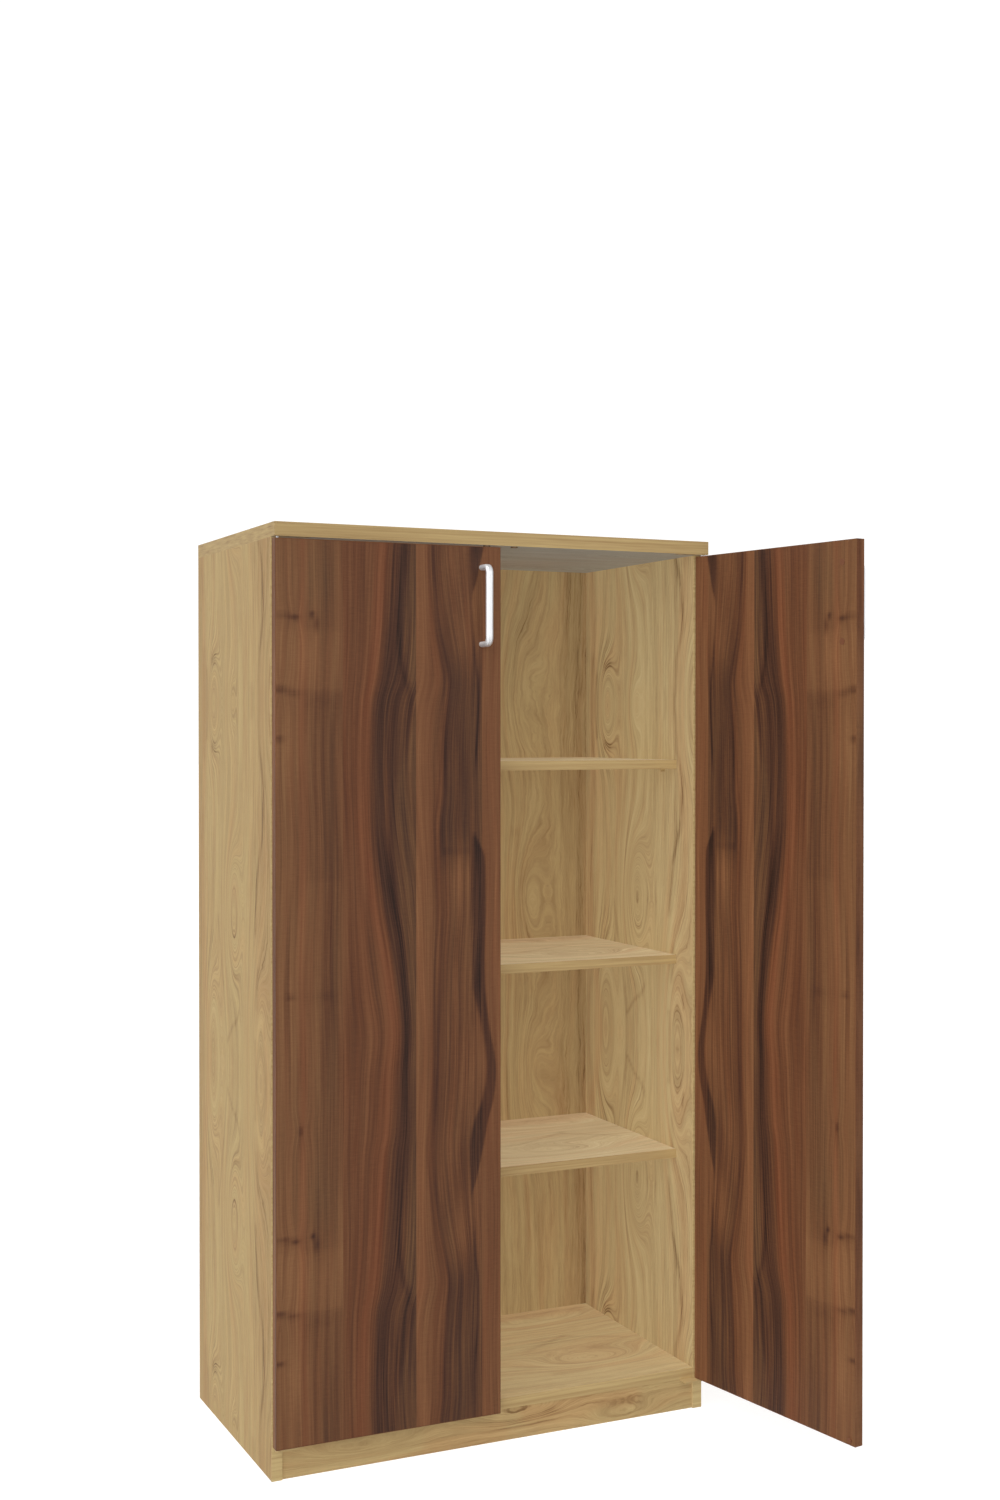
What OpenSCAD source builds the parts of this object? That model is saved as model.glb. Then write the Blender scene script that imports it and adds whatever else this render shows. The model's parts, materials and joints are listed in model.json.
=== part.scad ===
// Two-door wardrobe with four shelf spaces, dowelled and cam-fixed from faced board.
// Millimetres, +Z up. The origin is the middle of the plinth's underside, on the floor.
// The left door is drawn shut and the right door standing open.

/* [Carcass] */
// Width over the side panels
carcass_w = 800; // [600:1:1100]
// Depth of the side panels
carcass_d = 420; // [330:1:620]
// Height over the top panel
overall_h = 1540; // [1300:1:2000]
// Thickness of the side panels
side_t = 18; // [16:0.5:25]
// Thickness of the top panel
top_t = 23; // [18:0.5:30]
// Thickness of the bottom panel
bottom_t = 18; // [16:0.5:25]
// How far the top panel stands forward of the side panels
top_overhang = 21; // [20.5:0.5:40]
// Height of the plinth, and so of the bottom panel's underside
plinth_h = 55; // [45:1:120]
// Thickness of the plinth board
plinth_t = 16; // [12:0.5:20]
// How far the plinth is set back from the side panels' front edges
plinth_recess = 3; // [1:0.5:15]
// Thickness of the glued edge band
band_t = 1; // [0.5:0.1:2]

/* [Back] */
// Thickness of the hardboard back
back_t = 3; // [2.5:0.1:6]
// Wood left behind the back panel's groove
back_inset = 5; // [4:0.5:20]
// Depth of the groove that holds the back
groove_d = 8; // [4:0.5:9]

/* [Shelves] */
// Thickness of the shelves
shelf_t = 16; // [14:0.5:22]
// Top face of the lower shelf above the floor
lower_shelf_z = 451.5; // [300:0.5:550]
// Top face of the middle shelf above the floor
middle_shelf_z = 802.5; // [650:0.5:900]
// Top face of the upper shelf above the floor
upper_shelf_z = 1154; // [1000:0.5:1200]
// How far the shelves' front edges are set back
shelf_setback = 58; // [5:1:90]
// Distance of each shelf support from the shelf's front or back edge
support_inset = 45; // [25:1:80]

/* [Doors] */
// Thickness of the doors
door_t = 16; // [15:0.5:19]
// Step from the side panel's outer face in to the door's edge
door_reveal = 1.5; // [0.5:0.1:4]
// Gap between the two shut doors
door_mid_gap = 7; // [5:0.5:12]
// Gap between a shut door and the side panels' front edges
door_face_gap = 2.8; // [2.8:0.1:4]
// Gap between the doors and the top panel
door_top_gap = 2.7; // [2.5:0.1:6]
// How far the right door stands open, in degrees
right_door_open = 99.7; // [0:0.1:170]

/* [Handles] */
// Distance between the two screw holes
handle_pitch = 128; // [96:32:160]
// Width of the bow across its flat face
handle_w = 13; // [10.5:0.5:16]
// Thickness of the bow
handle_t = 9; // [7:0.5:10]
// Distance from the door's face to the outside of the bow
handle_reach = 32.5; // [28:0.5:40]
// Radius of the bends, along the middle of the bow
handle_bend = 11; // [8:0.5:14]
// Distance from the door's free edge to the middle of the bow
handle_edge = 33; // [25:0.5:60]
// Distance from the door's top edge down to the middle of the bow
handle_drop = 99.3; // [85:0.1:700]

/* [Pivot hinges] */
// Diameter of the pivot pins
pin_d = 5; // [4:0.1:5]
// Radial running clearance of a pin in its bush
pin_clearance = 0.05; // [0.01:0.01:0.1]
// Distance of the pivot from the door's hinge edge
pivot_edge = 6.5; // [6:0.1:6.5]
// Thickness of the pivot plates and leaves
leaf_t = 2.5; // [2:0.1:3]
// Width of the pivot plates and leaves
leaf_w = 12; // [11:0.5:13]
// Length of the pivot plates and leaves
leaf_l = 60; // [50:1:80]
// Thickness of the washer that carries the door
washer_t = 1.1; // [1:0.1:2]

/* [Hidden] */
$fn = 48;

oak = [0.70, 0.58, 0.40];
walnut = [0.42, 0.26, 0.18];
steel = [0.72, 0.72, 0.72];
bronze = [0.36, 0.28, 0.20];
nylon = [0.92, 0.91, 0.87];
eps = 0.01;

// Planes of the carcass
front_y = -(plinth_recess + plinth_t / 2);
rear_y = front_y + carcass_d;
side_x = carcass_w / 2;
inner_x = side_x - side_t;
under_top_z = overall_h - top_t;
floor_z = plinth_h + bottom_t;
back_front_y = rear_y - back_inset - back_t;
groove_play = 0.3;
board_play = 0.5;

// Shelves
shelf_x = inner_x - board_play;
shelf_front_y = front_y + shelf_setback;
shelf_rear_y = back_front_y - board_play;
support_ys = [shelf_front_y + support_inset, shelf_rear_y - support_inset];
support_d = 5;
support_drop = 3.5;
support_hole = 11;
support_peg = 10;
support_tongue = 8;
support_tongue_w = 14;
support_tongue_t = 2;

// Fittings that hold the carcass together
dowel_d = 8;
dowel_in_face = 12;
dowel_in_edge = 23;
dowel_play = 1;
top_dowel_end = 50;
top_dowel_ys = [for (k = [0:3]) front_y + top_dowel_end + k * (carcass_d - 2 * top_dowel_end) / 3];
floor_dowel_end = 110;
floor_dowel_ys = [front_y + floor_dowel_end, rear_y - floor_dowel_end];
cam_end = 75;
cam_ys = [front_y + cam_end, rear_y - cam_end];
cam_d = 15;
cam_h = 12.5;
cam_reach = 24;
cam_bolt_d = 6;
cam_thread_d = 5;
cam_thread = 11;
cam_slot_l = 10;
cam_slot_w = 1.2;
cam_slot_h = 1.5;
plinth_rear_y = front_y + plinth_recess + plinth_t;
plinth_dowel_z = plinth_h / 2;
block_l = 40;
block_s = 18;
block_end = 107;
block_xs = [block_end - inner_x, 0, inner_x - block_end];
block_screw_d = 3.5;
block_screw_l = 14;
block_screw_gap = 10;
block_screw_head_d = 7;
block_screw_head_h = 2;
block_counterbore = 7.5;

// Doors, drawn for the right side and mirrored for the left
door_x1 = side_x - door_reveal;
door_x0 = door_mid_gap / 2;
door_y1 = front_y - door_face_gap;
door_y0 = door_y1 - door_t;
washer_play = 0.1;
door_z0 = plinth_h + washer_t + washer_play;
door_z1 = under_top_z - door_top_gap;
pivot_x = door_x1 - pivot_edge;
pivot_y = door_y1 - door_t / 2;

// Pivot hinges
pin_hole_play = 0.35;
bush_d = 8;
bush_l = 12;
pin_in_door = leaf_t + bush_l - 1;
leaf_screw_d = 3;
leaf_screw_l = 16;
leaf_screw_head = 6;
leaf_screw_first = 18;
leaf_screw_last = leaf_l - 10;
leaf_screw_xs = [leaf_screw_first, (leaf_screw_first + leaf_screw_last) / 2, leaf_screw_last];
washer_d = leaf_w - 1;
pan_head_h = 1.5;
bracket_w = 24;
bracket_gap = 0.4;
bracket_screw_ys = [plinth_rear_y + 8, plinth_rear_y + 24];
bracket_rear_y = plinth_rear_y + 32;

// Catches and pads
magnet_d = 12;
magnet_h = 10;
magnet_proud = 2;
catch_edge = 22;
plate_h = 2;
pad_d = 8;
pad_t = door_face_gap - 0.3;
pad_edge = 12;

// Handles
handle_hole_d = 4.5;
handle_screw_d = 4;
handle_screw_grip = 7;
handle_screw_head_d = 8;
handle_screw_head_h = 2.4;
cap_bore_d = 9;
cap_bore_h = 3.4;
cap_d = 11;
cap_h = 0.6;
handle_mid = handle_reach - handle_t / 2;
handle_x = door_x0 + handle_edge;
handle_z = door_z1 - handle_drop;

// A box from its low corner to its high corner
module block(low, high) {
    translate(low) cube(high - low);
}

// A round bar from a point along +X or +Y
module bar_x(d, l) { rotate([0, 90, 0]) cylinder(d = d, h = l); }
module bar_y(d, l) { rotate([-90, 0, 0]) cylinder(d = d, h = l); }

// Both sides of the carcass, from the right one
module both_sides() {
    children();
    mirror([1, 0, 0]) children();
}

// The right door's pieces, turned about the pivot to where the door stands
module swung() {
    translate([pivot_x, pivot_y, 0])
        rotate([0, 0, right_door_open])
            translate([-pivot_x, -pivot_y, 0]) children();
}

// A countersunk wood screw whose head lies flush at the origin, pointing down
module screw_down(d, l, head) {
    cone = (head - d) / 2;
    translate([0, 0, -cone]) cylinder(d1 = d, d2 = head, h = cone);
    translate([0, 0, -l]) cylinder(d = d, h = l - cone + eps);
}

// ---------- Holes shared by the boards and their fittings ----------

module top_dowels(play) {
    both_sides() for (y = top_dowel_ys)
        translate([side_x - side_t / 2, y, under_top_z - dowel_in_edge - play])
            cylinder(d = dowel_d, h = dowel_in_edge + dowel_in_face + 2 * play);
}

module floor_dowels(play) {
    both_sides() for (y = floor_dowel_ys)
        translate([inner_x - dowel_in_edge - play, y, plinth_h + bottom_t / 2])
            bar_x(dowel_d, dowel_in_edge + dowel_in_face + 2 * play);
}

module plinth_dowels(play) {
    both_sides() translate([inner_x - dowel_in_edge - play, plinth_rear_y - plinth_t / 2, plinth_dowel_z])
        bar_x(dowel_d, dowel_in_edge + dowel_in_face + 2 * play);
}

module cam_bolt_places() {
    both_sides() for (y = cam_ys) translate([inner_x, y, plinth_h + bottom_t / 2]) children();
}

module support_holes() {
    both_sides() for (z = [lower_shelf_z, middle_shelf_z, upper_shelf_z], y = support_ys)
        translate([inner_x, y, z - shelf_t - support_drop]) bar_x(support_d, support_hole);
}

module back_groove() {
    block([-inner_x - groove_d, back_front_y - groove_play, floor_z - groove_d],
          [inner_x + groove_d, back_front_y + back_t, under_top_z + groove_d]);
}

// ---------- Carcass ----------

// Board of the top, inside its edge band
module top_board(inset) {
    block([-side_x + inset, front_y - top_overhang + inset, under_top_z],
          [side_x - inset, rear_y, overall_h]);
}

module top_panel() {
    color(oak) difference() {
        top_board(band_t);
        top_dowels(dowel_play);
        back_groove();
        both_sides() translate([pivot_x, pivot_y, under_top_z]) {
            leaf_recess();
            leaf_screw_holes();
        }
        both_sides() translate([door_x0 + catch_edge, pivot_y, under_top_z - eps])
            cylinder(d = magnet_d, h = magnet_h - magnet_proud + eps);
    }
}

module top_edge_band() {
    color(oak) difference() {
        top_board(0);
        block([-side_x + band_t, front_y - top_overhang + band_t, under_top_z - 1],
              [side_x - band_t, rear_y + 1, overall_h + 1]);
    }
}

module side_panel_right() {
    color(oak) difference() {
        block([inner_x, front_y + band_t, 0], [side_x, rear_y, under_top_z]);
        top_dowels(dowel_play);
        floor_dowels(dowel_play);
        plinth_dowels(dowel_play);
        support_holes();
        back_groove();
        cam_bolt_places() translate([-eps, 0, 0]) bar_x(cam_thread_d, cam_thread + eps);
    }
}
module right_side_panel() { side_panel_right(); }
module left_side_panel() { mirror([1, 0, 0]) side_panel_right(); }

module side_band_right() {
    color(oak) block([inner_x, front_y, 0], [side_x, front_y + band_t, under_top_z]);
}
module right_side_edge_band() { side_band_right(); }
module left_side_edge_band() { mirror([1, 0, 0]) side_band_right(); }

module bottom_panel() {
    color(oak) difference() {
        block([-inner_x, front_y + band_t, plinth_h], [inner_x, rear_y, floor_z]);
        floor_dowels(dowel_play);
        back_groove();
        cam_bolt_places() translate([-cam_reach, 0, 0]) bar_x(cam_bolt_d + 1, cam_reach + 1);
        cam_bolt_places() translate([-cam_reach, 0, -bottom_t / 2 - eps])
            cylinder(d = cam_d, h = cam_h + eps);
        both_sides() bracket_screw_places() translate([0, 0, -eps])
            cylinder(d = leaf_screw_d, h = leaf_screw_l - leaf_t);
        block_screw_places_up() translate([0, 0, -eps])
            cylinder(d = block_screw_d, h = block_screw_l - block_s / 2);
    }
}

module bottom_edge_band() {
    color(oak) block([-inner_x, front_y, plinth_h], [inner_x, front_y + band_t, floor_z]);
}

module back_panel() {
    edge_x = inner_x + groove_d - board_play;
    color(oak) block([-edge_x, back_front_y, floor_z - groove_d],
                     [edge_x, back_front_y + back_t, under_top_z + groove_d - board_play]);
}

module plinth() {
    color(oak) difference() {
        block([-inner_x, plinth_rear_y - plinth_t, 0], [inner_x, plinth_rear_y, plinth_h]);
        plinth_dowels(dowel_play);
        both_sides() bracket_notch();
        block_screw_places_front() translate([0, eps, 0]) rotate([180, 0, 0])
            bar_y(block_screw_d, block_screw_l - block_s / 2);
    }
}

// A shelf with its top face at z
module shelf(z) {
    color(oak) block([-shelf_x, shelf_front_y + band_t, z - shelf_t], [shelf_x, shelf_rear_y, z]);
}
module shelf_band(z) {
    color(oak) block([-shelf_x, shelf_front_y, z - shelf_t], [shelf_x, shelf_front_y + band_t, z]);
}
module upper_shelf() { shelf(upper_shelf_z); }
module middle_shelf() { shelf(middle_shelf_z); }
module lower_shelf() { shelf(lower_shelf_z); }
module upper_shelf_edge_band() { shelf_band(upper_shelf_z); }
module middle_shelf_edge_band() { shelf_band(middle_shelf_z); }
module lower_shelf_edge_band() { shelf_band(lower_shelf_z); }

// ---------- Fittings of the carcass ----------

module dowels() {
    color("tan") {
        top_dowels(0);
        floor_dowels(0);
        plinth_dowels(0);
    }
}

// Screw-in bolt: a thread in the side panel and a headed stub in the bottom panel
module cam_bolts() {
    color(steel) cam_bolt_places() {
        bar_x(cam_thread_d, cam_thread - 1);
        translate([-cam_reach, 0, 0]) bar_x(cam_bolt_d - 1, cam_reach);
        translate([-cam_reach - 1, 0, 0]) bar_x(cam_bolt_d, 3);
    }
}

module cam_housings() {
    color(steel) difference() {
        cam_bolt_places() translate([-cam_reach, 0, -bottom_t / 2]) cylinder(d = cam_d, h = cam_h);
        cam_bolt_places() translate([-cam_reach - 4, 0, 0]) bar_x(cam_bolt_d + 1, cam_d);
        // The slot for the screwdriver
        cam_bolt_places() translate([-cam_reach - cam_slot_l / 2, -cam_slot_w / 2, -bottom_t / 2 - eps])
            cube([cam_slot_l, cam_slot_w, cam_slot_h]);
    }
}

// Peg in the side panel with a flat tongue under the shelf
module shelf_supports() {
    color(steel) both_sides() for (z = [lower_shelf_z, middle_shelf_z, upper_shelf_z], y = support_ys) {
        translate([inner_x - support_tongue, y, z - shelf_t - support_drop])
            bar_x(support_d, support_tongue + support_peg);
        block([inner_x - support_tongue, y - support_tongue_w / 2, z - shelf_t - support_tongue_t],
              [inner_x, y + support_tongue_w / 2, z - shelf_t]);
    }
}

// Corner blocks that screw the plinth to the underside of the bottom panel
module block_screw_places_up() {
    for (x = block_xs) translate([x - block_screw_gap, plinth_rear_y + block_s / 2, plinth_h]) children();
}
module block_screw_places_front() {
    for (x = block_xs) translate([x + block_screw_gap, plinth_rear_y, plinth_h - block_s / 2]) children();
}

module plinth_blocks() {
    color(nylon) difference() {
        for (x = block_xs)
            block([x - block_l / 2, plinth_rear_y, plinth_h - block_s],
                  [x + block_l / 2, plinth_rear_y + block_s, plinth_h]);
        block_screw_places_up() translate([0, 0, -block_s - 1]) {
            cylinder(d = block_screw_d, h = block_s + 2);
            cylinder(d = block_counterbore, h = block_s / 2 + 1);
        }
        block_screw_places_front() {
            translate([0, -1, 0]) bar_y(block_screw_d, block_s + 2);
            translate([0, block_s / 2, 0]) bar_y(block_counterbore, block_s);
        }
    }
}

module plinth_block_screws() {
    color(steel) {
        shank = block_screw_l - block_screw_head_h;
        block_screw_places_up() translate([0, 0, -block_s / 2]) {
            translate([0, 0, -block_screw_head_h]) cylinder(d = block_screw_head_d, h = block_screw_head_h);
            translate([0, 0, -eps]) cylinder(d = block_screw_d, h = shank);
        }
        block_screw_places_front() translate([0, block_s / 2, 0]) {
            bar_y(block_screw_head_d, block_screw_head_h);
            translate([0, -shank, 0]) bar_y(block_screw_d, shank + eps);
        }
    }
}

// Magnets pressed into the overhang, with their faces a little proud of it
module catch_magnets() {
    color(steel) both_sides() translate([door_x0 + catch_edge, pivot_y, under_top_z - magnet_proud])
        cylinder(d = magnet_d, h = magnet_h);
}

// ---------- Pivot hinges ----------

// Outline of a leaf: its pivot at the origin, running towards the door's free edge
module leaf_shape(t) {
    translate([-leaf_l + leaf_w / 2, -leaf_w / 2, 0]) cube([leaf_l - leaf_w / 2, leaf_w, t]);
    cylinder(d = leaf_w, h = t);
}
// The recess that a leaf is let into, in the board above it
module leaf_recess() { translate([0, 0, -eps]) leaf_shape(leaf_t + eps); }

module leaf_screw_places() {
    for (x = leaf_screw_xs) translate([-x, 0, 0]) children();
}
// Pilot holes of a leaf's screws, up into the board above it
module leaf_screw_holes() {
    leaf_screw_places() cylinder(d = leaf_screw_d, h = leaf_screw_l);
}
// Countersunk holes through a leaf, with the heads on its underside
module countersinks() {
    cone = (leaf_screw_head - leaf_screw_d) / 2;
    leaf_screw_places() {
        translate([0, 0, -eps]) cylinder(d1 = leaf_screw_head + 2 * eps, d2 = leaf_screw_d, h = cone + eps);
        translate([0, 0, -1]) cylinder(d = leaf_screw_d, h = leaf_t + 2);
    }
}

// Flat plate let into the top panel's overhang
module top_plate_right() {
    color(bronze) translate([pivot_x, pivot_y, under_top_z]) difference() {
        leaf_shape(leaf_t);
        translate([0, 0, -1]) cylinder(d = pin_d, h = leaf_t + 2);
        countersinks();
    }
}
module right_top_pivot_plate() { top_plate_right(); }
module left_top_pivot_plate() { mirror([1, 0, 0]) top_plate_right(); }

// Bracket under the bottom panel whose tongue reaches forward and sideways below the door
module bracket_shape() {
    low = [inner_x - bracket_w, pivot_y - leaf_w / 2, 0];
    translate([0, 0, plinth_h - leaf_t]) {
        block(low, [inner_x - bracket_gap, bracket_rear_y, leaf_t]);
        block(low, [pivot_x, front_y - bracket_gap, leaf_t]);
        translate([pivot_x, pivot_y, 0]) cylinder(d = leaf_w, h = leaf_t);
    }
}
// Room in the plinth's top edge for the bracket
module bracket_notch() {
    block([inner_x - bracket_w - bracket_gap, front_y, plinth_h - leaf_t - bracket_gap],
          [inner_x + 1, plinth_rear_y + 1, plinth_h + 1]);
}
module bracket_screw_places() {
    for (y = bracket_screw_ys) translate([inner_x - bracket_w / 2, y, plinth_h]) children();
}
module bracket_right() {
    color(bronze) difference() {
        bracket_shape();
        translate([pivot_x, pivot_y, plinth_h - leaf_t - 1]) cylinder(d = pin_d, h = leaf_t + 2);
        bracket_screw_places() translate([0, 0, -leaf_t - 1]) cylinder(d = leaf_screw_d, h = leaf_t + 2);
    }
}
module right_bottom_pivot_bracket() { bracket_right(); }
module left_bottom_pivot_bracket() { mirror([1, 0, 0]) bracket_right(); }

// The two fixed pins: one hangs from the top plate, one stands on the bracket
module pins_right() {
    top_l = under_top_z + leaf_t - door_z1 + pin_in_door;
    bottom_l = door_z0 - plinth_h + leaf_t + pin_in_door;
    color(steel) translate([pivot_x, pivot_y, 0]) {
        translate([0, 0, door_z1 - pin_in_door]) cylinder(d = pin_d, h = top_l);
        translate([0, 0, plinth_h - leaf_t]) cylinder(d = pin_d, h = bottom_l);
    }
}
module right_pivot_pins() { pins_right(); }
module left_pivot_pins() { mirror([1, 0, 0]) pins_right(); }

module washer_right() {
    color(nylon) translate([pivot_x, pivot_y, plinth_h]) difference() {
        cylinder(d = washer_d, h = washer_t);
        translate([0, 0, -1]) cylinder(d = pin_d, h = washer_t + 2);
    }
}
module right_pivot_washer() { washer_right(); }
module left_pivot_washer() { mirror([1, 0, 0]) washer_right(); }

module pivot_screws_right() {
    color(bronze) {
        translate([pivot_x, pivot_y, under_top_z]) leaf_screw_places()
            rotate([180, 0, 0]) screw_down(leaf_screw_d, leaf_screw_l, leaf_screw_head);
        bracket_screw_places() translate([0, 0, -leaf_t]) {
            translate([0, 0, -pan_head_h]) cylinder(d = leaf_screw_head, h = pan_head_h);
            translate([0, 0, -eps]) cylinder(d = leaf_screw_d, h = leaf_screw_l - leaf_t);
        }
    }
}
module right_pivot_screws() { pivot_screws_right(); }
module left_pivot_screws() { mirror([1, 0, 0]) pivot_screws_right(); }

// ---------- Doors, shut, on the right side ----------

module door_mortises() {
    for (end = [[door_z0, 1], [door_z1, -1]])
        translate([pivot_x, pivot_y, end[0]]) mirror([0, 0, end[1] > 0 ? 0 : 1]) {
            leaf_recess();
            cylinder(d = bush_d, h = leaf_t + bush_l + 1);
            leaf_screw_holes();
        }
    translate([door_x0 + catch_edge, pivot_y, door_z1 - plate_h]) cylinder(d = magnet_d, h = plate_h + 1);
    for (side = [-1, 1])
        translate([handle_x, door_y0 - 1, handle_z + side * handle_pitch / 2])
            bar_y(handle_hole_d, door_t + 2);
    for (side = [-1, 1])
        translate([handle_x, door_y1 - cap_bore_h, handle_z + side * handle_pitch / 2])
            bar_y(cap_bore_d, cap_bore_h + 1);
}

module door_board() {
    color(walnut) difference() {
        block([door_x0 + band_t, door_y0, door_z0 + band_t], [door_x1 - band_t, door_y1, door_z1 - band_t]);
        door_mortises();
    }
}
module right_door() { swung() door_board(); }
module left_door() { mirror([1, 0, 0]) door_board(); }

module door_band() {
    color(walnut) difference() {
        block([door_x0, door_y0, door_z0], [door_x1, door_y1, door_z1]);
        block([door_x0 + band_t, door_y0 - 1, door_z0 + band_t],
              [door_x1 - band_t, door_y1 + 1, door_z1 - band_t]);
        door_mortises();
    }
}
module right_door_edge_band() { swung() door_band(); }
module left_door_edge_band() { mirror([1, 0, 0]) door_band(); }

module door_leaves() {
    color(bronze) for (end = [[door_z0, 0], [door_z1, 1]])
        translate([pivot_x, pivot_y, end[0]]) mirror([0, 0, end[1]]) difference() {
            leaf_shape(leaf_t);
            translate([0, 0, -1]) cylinder(d = pin_d + 2 * pin_hole_play, h = leaf_t + 2);
            countersinks();
        }
}
module right_door_leaves() { swung() door_leaves(); }
module left_door_leaves() { mirror([1, 0, 0]) door_leaves(); }

module pivot_bushes() {
    color(nylon) for (z = [door_z0 + leaf_t, door_z1 - leaf_t - bush_l])
        translate([pivot_x, pivot_y, z]) difference() {
            cylinder(d = bush_d, h = bush_l);
            translate([0, 0, -1]) cylinder(d = pin_d + 2 * pin_clearance, h = bush_l + 2);
        }
}
module right_pivot_bushes() { swung() pivot_bushes(); }
module left_pivot_bushes() { mirror([1, 0, 0]) pivot_bushes(); }

module leaf_screws() {
    color(bronze) {
        translate([pivot_x, pivot_y, door_z0]) leaf_screw_places()
            rotate([180, 0, 0]) screw_down(leaf_screw_d, leaf_screw_l, leaf_screw_head);
        translate([pivot_x, pivot_y, door_z1]) leaf_screw_places()
            screw_down(leaf_screw_d, leaf_screw_l, leaf_screw_head);
    }
}
module right_leaf_screws() { swung() leaf_screws(); }
module left_leaf_screws() { mirror([1, 0, 0]) leaf_screws(); }

// Steel disc in the door's top edge for the magnet to pull on
module catch_plate() {
    color(steel) translate([door_x0 + catch_edge, pivot_y, door_z1 - plate_h])
        cylinder(d = magnet_d, h = plate_h);
}
module right_catch_plate() { swung() catch_plate(); }
module left_catch_plate() { mirror([1, 0, 0]) catch_plate(); }

// Clear pad that meets the bottom panel's front edge
module door_pad() {
    color([0.85, 0.85, 0.85, 0.5])
        translate([door_x0 + pad_edge, door_y1, plinth_h + bottom_t / 2]) bar_y(pad_d, pad_t);
}
module right_door_pad() { swung() door_pad(); }
module left_door_pad() { mirror([1, 0, 0]) door_pad(); }

// ---------- Handles ----------

// Flat-oval section of the bow: wide along X, thin along Y
module bow_section() {
    for (s = [-1, 1]) translate([s * (handle_w - handle_t) / 2, 0]) circle(d = handle_t);
    square([handle_w - handle_t, handle_t], center = true);
}

// Bow with its feet on the plane y = 0, its middle at z = 0 and its reach along -Y
module bow() {
    straight = handle_pitch - 2 * handle_bend;
    foot = handle_mid - handle_bend;
    difference() {
        union() {
            translate([0, -handle_mid, -straight / 2]) linear_extrude(straight) bow_section();
            for (s = [0, 1]) mirror([0, 0, s]) {
                translate([0, -foot, straight / 2]) rotate([0, -90, 0]) rotate([0, 0, -90])
                    rotate_extrude(angle = 90) translate([handle_bend, 0]) rotate([0, 0, 90]) bow_section();
                translate([0, 0, handle_pitch / 2]) rotate([90, 0, 0]) linear_extrude(foot) bow_section();
            }
        }
        for (s = [-1, 1]) translate([0, -handle_screw_grip - 2, s * handle_pitch / 2])
            bar_y(handle_screw_d, handle_screw_grip + 3);
    }
}

module door_handle() {
    color(steel) translate([handle_x, door_y0, handle_z]) bow();
}
module right_handle() { swung() door_handle(); }
module left_handle() { mirror([1, 0, 0]) door_handle(); }

module handle_screws() {
    color(steel) for (s = [-1, 1]) translate([handle_x, 0, handle_z + s * handle_pitch / 2]) {
        translate([0, door_y0 - handle_screw_grip, 0])
            bar_y(handle_screw_d, door_t - cap_bore_h + handle_screw_grip + eps);
        translate([0, door_y1 - cap_bore_h, 0]) bar_y(handle_screw_head_d, handle_screw_head_h);
    }
}
module right_handle_screws() { swung() handle_screws(); }
module left_handle_screws() { mirror([1, 0, 0]) handle_screws(); }

// Walnut-coloured caps over the screw heads on the door's inner face
module screw_caps() {
    color(walnut) for (s = [-1, 1]) translate([handle_x, door_y1, handle_z + s * handle_pitch / 2]) {
        bar_y(cap_d, cap_h);
        translate([0, handle_screw_head_h - cap_bore_h, 0])
            bar_y(cap_bore_d, cap_bore_h - handle_screw_head_h + eps);
    }
}
module right_screw_caps() { swung() screw_caps(); }
module left_screw_caps() { mirror([1, 0, 0]) screw_caps(); }

top_panel();
left_side_panel();
right_side_panel();
bottom_panel();
back_panel();
plinth();
upper_shelf();
middle_shelf();
lower_shelf();
top_edge_band();
left_side_edge_band();
right_side_edge_band();
bottom_edge_band();
upper_shelf_edge_band();
middle_shelf_edge_band();
lower_shelf_edge_band();
dowels();
cam_bolts();
cam_housings();
shelf_supports();
plinth_blocks();
plinth_block_screws();
catch_magnets();
left_top_pivot_plate();
left_bottom_pivot_bracket();
left_pivot_pins();
left_pivot_washer();
left_pivot_screws();
right_top_pivot_plate();
right_bottom_pivot_bracket();
right_pivot_pins();
right_pivot_washer();
right_pivot_screws();
left_door();
left_door_edge_band();
left_handle();
left_handle_screws();
left_screw_caps();
left_door_leaves();
left_pivot_bushes();
left_leaf_screws();
left_catch_plate();
left_door_pad();
right_door();
right_door_edge_band();
right_handle();
right_handle_screws();
right_screw_caps();
right_door_leaves();
right_pivot_bushes();
right_leaf_screws();
right_catch_plate();
right_door_pad();
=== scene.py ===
import json
import math

import bpy
import numpy as np
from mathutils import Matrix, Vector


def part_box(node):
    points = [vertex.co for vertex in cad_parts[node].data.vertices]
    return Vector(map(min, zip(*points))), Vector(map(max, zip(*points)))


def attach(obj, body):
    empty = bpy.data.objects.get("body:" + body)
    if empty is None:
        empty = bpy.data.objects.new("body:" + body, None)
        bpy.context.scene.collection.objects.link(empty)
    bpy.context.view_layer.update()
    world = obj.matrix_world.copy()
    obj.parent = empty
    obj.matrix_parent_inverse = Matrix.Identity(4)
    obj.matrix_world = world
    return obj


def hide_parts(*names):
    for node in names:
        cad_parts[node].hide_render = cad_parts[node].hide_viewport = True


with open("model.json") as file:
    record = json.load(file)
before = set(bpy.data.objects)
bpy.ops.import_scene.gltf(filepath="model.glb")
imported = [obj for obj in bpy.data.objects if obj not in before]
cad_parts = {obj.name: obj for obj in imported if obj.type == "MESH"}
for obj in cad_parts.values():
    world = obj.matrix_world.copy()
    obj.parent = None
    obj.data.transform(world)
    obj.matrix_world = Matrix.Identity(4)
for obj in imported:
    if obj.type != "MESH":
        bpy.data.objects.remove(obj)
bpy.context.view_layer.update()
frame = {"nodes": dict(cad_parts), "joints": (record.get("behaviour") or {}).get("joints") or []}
nodes = frame["nodes"]
MM = 0.001


# ---------- Studio ----------
# A plain white room: a pale floor under an even white sky. Shadowless lights reach into the shelves as
# many reflectors would, a broad one in front shades the corners, and a weaker one lights the far sides.

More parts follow.
